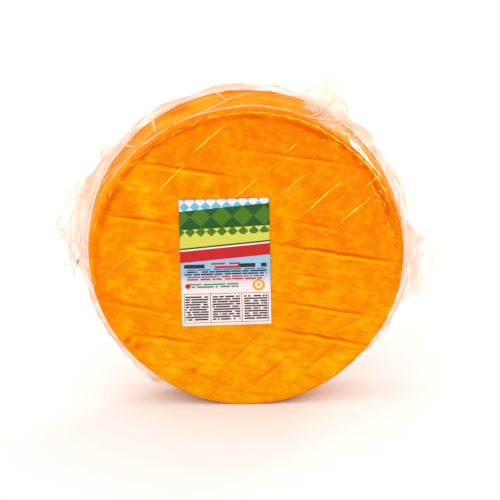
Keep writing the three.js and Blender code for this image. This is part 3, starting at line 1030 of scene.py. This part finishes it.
def side_fold_paths(bag, wheel):
    """The folds seen over the side, and more of the same drawn at random round the rest of it."""
    rng = np.random.default_rng(bag.seed)
    folds = list(SIDE_FOLDS)
    # From the left round underneath to the right. Neighbours lean the same way, as pleats do, so they seldom
    # cross.
    for start in np.arange(155, 400, 4):
        angle = start + rng.uniform(-1.5, 1.5)
        low = rng.uniform(0.0, 0.8)
        end = min(low + rng.uniform(0.2, 0.9), 1.1)
        turned = (8 * sin_deg(4 * start) + rng.uniform(-2, 2)) * (end - low)
        middle = (angle + turned * rng.uniform(0.3, 0.9), (low + end) / 2)
        folds.append((rng.uniform(0.15, 0.45), (angle, low), middle, (angle + turned, end)))
        if rng.random() < 0.12:
            branch = (middle[0] + rng.uniform(1, 4) * np.sign(-turned), middle[1] + (end - middle[1]) * 0.8)
            folds.append((rng.uniform(0.12, 0.25), middle, branch))
    paths = []
    for radius, *places in folds:
        angles, shares = (drawn_out(values) for values in zip(*places))
        path = [tent_point(np.array([a]), share, bag, wheel)[0] for a, share in zip(angles, shares)]
        paths.append((np.array(path), radius * MM))
    # Behind the flange the film lies from its root to the back rim, with shorter folds
    for start in np.arange(0, 360, 6):
        low, high = np.sort(rng.uniform(0.0, 0.9, 2))
        angles = drawn_out(start + rng.uniform(-4, 4, 3))
        share = np.linspace(low, high, len(angles))[:, None]
        root = flange_point(angles, 0.0, 1, bag, wheel)
        rim = at_edge(angles, bag.cling, HALF_THICKNESS - wheel.rim_rounding, wheel)
        paths.append((root + (rim - root) * share, rng.uniform(0.12, 0.35) * MM))
    return [(path, radius) for path, radius in paths if path[:, 2].min() > 2 * MM]


def label_material(label):
    """Coated label paper, printed in flat colours: diamonds, a slanting sash and rows of broken bars."""
    material, add = new_material("Printed coated label paper")
    flat = add("UVMap", uv_map="print")
    across, up, _ = add("SeparateXYZ", [flat], output=None)
    # The sheet in centimetres, from its lower left corner
    centimetres = (label.width / (10 * MM), label.height / (10 * MM), 1)
    sheet = add("Mapping", {"Vector": flat, "Scale": centimetres})

    # Pale blue that runs out to white towards the foot, then diamonds in sky blue and white, and in greens
    depth = add("MapRange", (up, 0.30, 0.42))
    tilted = add("Mapping", {"Vector": sheet, "Rotation": (0, 0, math.pi / 4)})
    check, fine_check = (
        add("TexChecker", {"Vector": tilted, "Scale": scale}, output="Fac") for scale in (1.0, 2.0)
    )
    tone, skies, greens, limes = (
        add("Mix", {0: share, 6: first, 7: second}, output=2, data_type="RGBA")
        for share, first, second in (
            (depth, label.white, label.pale_blue),
            (fine_check, label.sky, label.white),
            (check, label.forest, label.leaf),
            (fine_check, label.lime, label.leaf),
        )
    )
    # What is printed over it, in order: where, and in what colour
    layers = []
    # Each field's lower border: place at the left edge, and how far it rises to the right edge
    for start, rise, field in (
        (0.505, 0.05, label.red),
        (0.595, 0.05, label.white),
        (0.607, 0.05, label.forest),
        (0.620, 0.05, label.lime),
        (0.700, 0.03, limes),
        (0.765, 0.02, greens),
        (0.910, 0.05, skies),
    ):
        border = add("Math", (across, rise, start), "MULTIPLY_ADD")
        layers.append((add("Math", (up, border), "GREATER_THAN"), field))

    # Rows of broken bars, the size of print but without any letters: their pitch, and how often they break
    down = add("SeparateXYZ", [sheet], output=1)
    bars = []
    for pitch, breaks in ((0.45, 9.0), (0.27, 12.0), (0.18, 26.0)):
        row = add("Math", (down, pitch), "DIVIDE")
        number = add("Math", [row], "FLOOR")
        within = add("Math", [row], "FRACT")
        in_row = add("Math", (within, 0.5, 0.31), "COMPARE")
        word = add("Math", (across, breaks), "MULTIPLY")
        line = add("Math", (number, 7.3), "MULTIPLY")
        word_place = add("CombineXYZ", (word, line))
        words = add("TexNoise", {"Vector": word_place, "Scale": 1.0, "Detail": 1.0})
        in_word = add("Math", (words, 0.40), "GREATER_THAN")
        bars.append(add("Math", (in_row, in_word), "MULTIPLY"))
    large, middling, small = bars
    # The blocks that they fill, and the frame round the lowest three blocks and between them: filling, middle
    # and half width, middle and half height, colour
    for filling, mid_x, half_x, mid_y, half_y, paint in (
        (large, 0.16, 0.12, 0.475, 0.022, label.ink),
        (large, 0.80, 0.16, 0.475, 0.022, label.ink),
        (middling, 0.5, 0.16, 0.478, 0.022, label.red),
        (small, 0.5, 0.46, 0.425, 0.026, label.ink),
        (small, 0.5, 0.43, 0.375, 0.02, label.red),
        (small, 0.36, 0.28, 0.315, 0.02, label.green_ink),
        (small, 0.17, 0.13, 0.14, 0.10, label.ink),
        (small, 0.5, 0.155, 0.14, 0.10, label.ink),
        (small, 0.83, 0.13, 0.14, 0.10, label.ink),
        *((1.0, 0.5, 0.47, mid_y, 0.002, label.ink) for mid_y in (0.255, 0.025)),
        *((1.0, mid_x, 0.003, 0.14, 0.115, label.ink) for mid_x in (0.03, 0.325, 0.675, 0.97)),
    ):
        beside = add("Math", (across, mid_x, half_x), "COMPARE")
        level = add("Math", (up, mid_y, half_y), "COMPARE")
        block = add("Math", (beside, level), "MULTIPLY")
        layers.append((add("Math", (block, filling), "MULTIPLY"), paint))
    # A gold ring and a red dot
    for at_x, at_y, radius, paint in (
        (5.2, 2.85, 0.42, label.gold),
        (5.2, 2.85, 0.24, label.white),
        (5.2, 2.85, 0.12, label.gold),
        (0.45, 2.85, 0.18, label.red),
    ):
        far = add("VectorMath", (sheet, (at_x, at_y, 0)), "DISTANCE", output="Value")
        layers.append((add("Math", (far, radius), "LESS_THAN"), paint))
    for share, paint in layers:
        tone = add("Mix", {0: share, 6: tone, 7: paint}, output=2, data_type="RGBA")

    place = add("TexCoord", output="Object")
    fibres = add("TexNoise", {"Vector": place, "Scale": 1 / (5 * MM), "Detail": 3.0})
    relief = add("Bump", {"Height": fibres, "Strength": 0.4, "Distance": 0.1 * MM})
    inputs = {"Base Color": tone, "Roughness": 0.42, "IOR": 1.5, "Specular IOR Level": 0.3, "Normal": relief}
    add("OutputMaterial", [add("BsdfPrincipled", inputs)], output=None)
    return material


def make_label(label, bag, wheel):
    """The label: a thin sheet that follows the film under it, with faint ripples of its own."""
    columns, lines = 62, 90
    middle = (LABEL_LOW + LABEL_HIGH) / 2
    u, v = np.meshgrid(np.linspace(-0.5, 0.5, columns + 1), np.linspace(-0.5, 0.5, lines + 1))
    c, s = math.cos(label.turn), math.sin(label.turn)
    x = middle.x + u * label.width * c - v * label.height * s
    z = middle.z + u * label.width * s + v * label.height * c
    under = np.stack([x, 0 * x - HALF_THICKNESS - bag.cling, z], -1).reshape(-1, 3)
    ripple = label.ripple * (1 + np.clip(waviness(under, 11 * MM, RIPPLES_SEED), -1, 1))
    under[:, 1] -= unevenness(under, wheel) + ripple + label.gap
    points = np.concatenate([under, under - np.array([0, label.thickness, 0])])
    row = columns + 1
    starts = [i * row + j for i in range(lines) for j in range(columns)]
    back = [(k, k + row, k + row + 1, k + 1) for k in starts]
    border = list(range(columns)) + [i * row + columns for i in range(lines)]
    border += [lines * row + j for j in range(columns, 0, -1)] + [i * row for i in range(lines, 0, -1)]
    count = len(under)
    edge = [(a, b, count + b, count + a) for a, b in zip(border, border[1:] + border[:1])]
    mesh = bpy.data.meshes.new("label_sheet")
    mesh.from_pydata(points.tolist(), [], back + [tuple(count + k for k in f[::-1]) for f in back] + edge)
    finish_mesh(mesh, label_material(label))
    flat = np.tile(np.stack([u.ravel(), v.ravel()], -1) + 0.5, (2, 1))
    corners = get_array(mesh.loops, "vertex_index", 1, int)
    mesh.uv_layers.new(name="print").data.foreach_set("uv", flat[corners].ravel())
    piece = link_object("label_sheet", mesh)
    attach(piece, "root")
    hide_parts("label")


def make_floor(stage):
    """The plain pale floor, wide enough to fill a view from any side."""
    reach = stage.floor_reach
    mesh = bpy.data.meshes.new("floor")
    corners = [(x * reach, y * reach, 0) for x, y in ((-1, -1), (1, -1), (1, 1), (-1, 1))]
    mesh.from_pydata(corners, [], [(0, 1, 2, 3)])
    material, add = new_material("White backdrop paper")
    inputs = {"Base Color": stage.paper, "Roughness": 0.9, "Specular IOR Level": 0.1}
    add("OutputMaterial", [add("BsdfPrincipled", inputs)], output=None)
    mesh.materials.append(material)
    link_object("floor", mesh)


def make_softbox(name, place, size, aim, power):
    light = bpy.data.lights.new(name, "AREA")
    light.shape = "SQUARE"
    light.size = size
    light.energy = power
    holder = link_object(name, light)
    holder.location = place
    holder.rotation_euler = (Vector(aim) - Vector(place)).to_track_quat("-Z", "Y").to_euler()


def make_camera(stage, wheel):
    camera = bpy.data.cameras.new("camera")
    camera.sensor_fit = "HORIZONTAL"
    camera.lens = camera.sensor_width * stage.camera_distance / stage.view_width
    camera.clip_end = 20
    level = math.cos(stage.elevation)
    ahead = math.sin(stage.azimuth) * level, math.cos(stage.azimuth) * level
    towards = Vector((*ahead, -math.sin(stage.elevation)))
    right = towards.cross(Vector((0, 0, 1))).normalized()
    up = right.cross(towards)
    aim = Vector((0, -HALF_THICKNESS, axis_height(wheel))) + right * stage.aim_right + up * stage.aim_up
    holder = link_object("camera", camera)
    holder.location = aim - towards * stage.camera_distance
    holder.rotation_euler = towards.to_track_quat("-Z", "Y").to_euler()
    bpy.context.scene.camera = holder


class MakeWheel(bpy.types.Operator):
    """Make the cheese with its cheesecloth imprint"""

    bl_idname = "cheese.make_wheel"
    bl_label = "Cheese wheel"

    def execute(self, context):
        make_wheel(context.scene.cheese_wheel)
        return {"FINISHED"}


class MakeBag(bpy.types.Operator):
    """Make the clear bag round the cheese, with its wrinkles and folds"""

    bl_idname = "cheese.make_bag"
    bl_label = "Vacuum bag"

    def execute(self, context):
        bag, wheel = context.scene.cheese_bag, context.scene.cheese_wheel
        make_film(bag, wheel)
        on_faces, over_side = face_wrinkle_paths(bag, wheel), side_fold_paths(bag, wheel)
        make_folds("face_wrinkles", on_faces, wheel, flatness=0.35, frost=0.9, on_rind=1.0)
        make_folds("side_folds", over_side, wheel, flatness=1.0, frost=0.85, on_rind=0.35)
        return {"FINISHED"}


class MakeLabel(bpy.types.Operator):
    """Make the printed paper label on the front"""

    bl_idname = "cheese.make_label"
    bl_label = "Label"

    def execute(self, context):
        scene = context.scene
        make_label(scene.cheese_label, scene.cheese_bag, scene.cheese_wheel)
        return {"FINISHED"}


class MakeStage(bpy.types.Operator):
    """Make the pale floor, the white room, the softboxes and the camera"""

    bl_idname = "cheese.make_stage"
    bl_label = "Stage"

    def execute(self, context):
        scene = context.scene
        stage = scene.cheese_stage
        make_floor(stage)
        make_camera(stage, scene.cheese_wheel)
        for softbox in SOFTBOXES:
            make_softbox(*softbox)
        world = bpy.data.worlds.new("studio")
        world.use_nodes = True
        background = world.node_tree.nodes["Background"]
        background.inputs["Color"].default_value = linear("#FFFFFF")
        background.inputs["Strength"].default_value = stage.room
        scene.world = world
        scene.view_settings.view_transform = "Standard"
        return {"FINISHED"}


SETTINGS = {
    "cheese_wheel": WheelSettings,
    "cheese_bag": BagSettings,
    "cheese_label": LabelSettings,
    "cheese_stage": StageSettings,
}
OPERATORS = (MakeWheel, MakeBag, MakeLabel, MakeStage)


class CheesePanel(bpy.types.Panel):
    bl_idname = "VIEW3D_PT_cheese_wheel"
    bl_label = "Bagged cheese wheel"
    bl_space_type = "VIEW_3D"
    bl_region_type = "UI"
    bl_category = "Cheese wheel"

    def draw(self, context):
        for name, operator in zip(SETTINGS, OPERATORS):
            box = self.layout.box()
            for setting in SETTINGS[name].__annotations__:
                box.prop(getattr(context.scene, name), setting)
            box.operator(operator.bl_idname)


CLASSES = (*SETTINGS.values(), *OPERATORS, CheesePanel)


def register():
    for kind in CLASSES:
        bpy.utils.register_class(kind)
    for name, kind in SETTINGS.items():
        setattr(bpy.types.Scene, name, PointerProperty(type=kind))


def unregister():
    for name in SETTINGS:
        delattr(bpy.types.Scene, name)
    for kind in reversed(CLASSES):
        bpy.utils.unregister_class(kind)


def main():
    register()
    bpy.ops.cheese.make_wheel()
    bpy.ops.cheese.make_bag()
    bpy.ops.cheese.make_label()
    bpy.ops.cheese.make_stage()


if __name__ == "__main__":
    main()
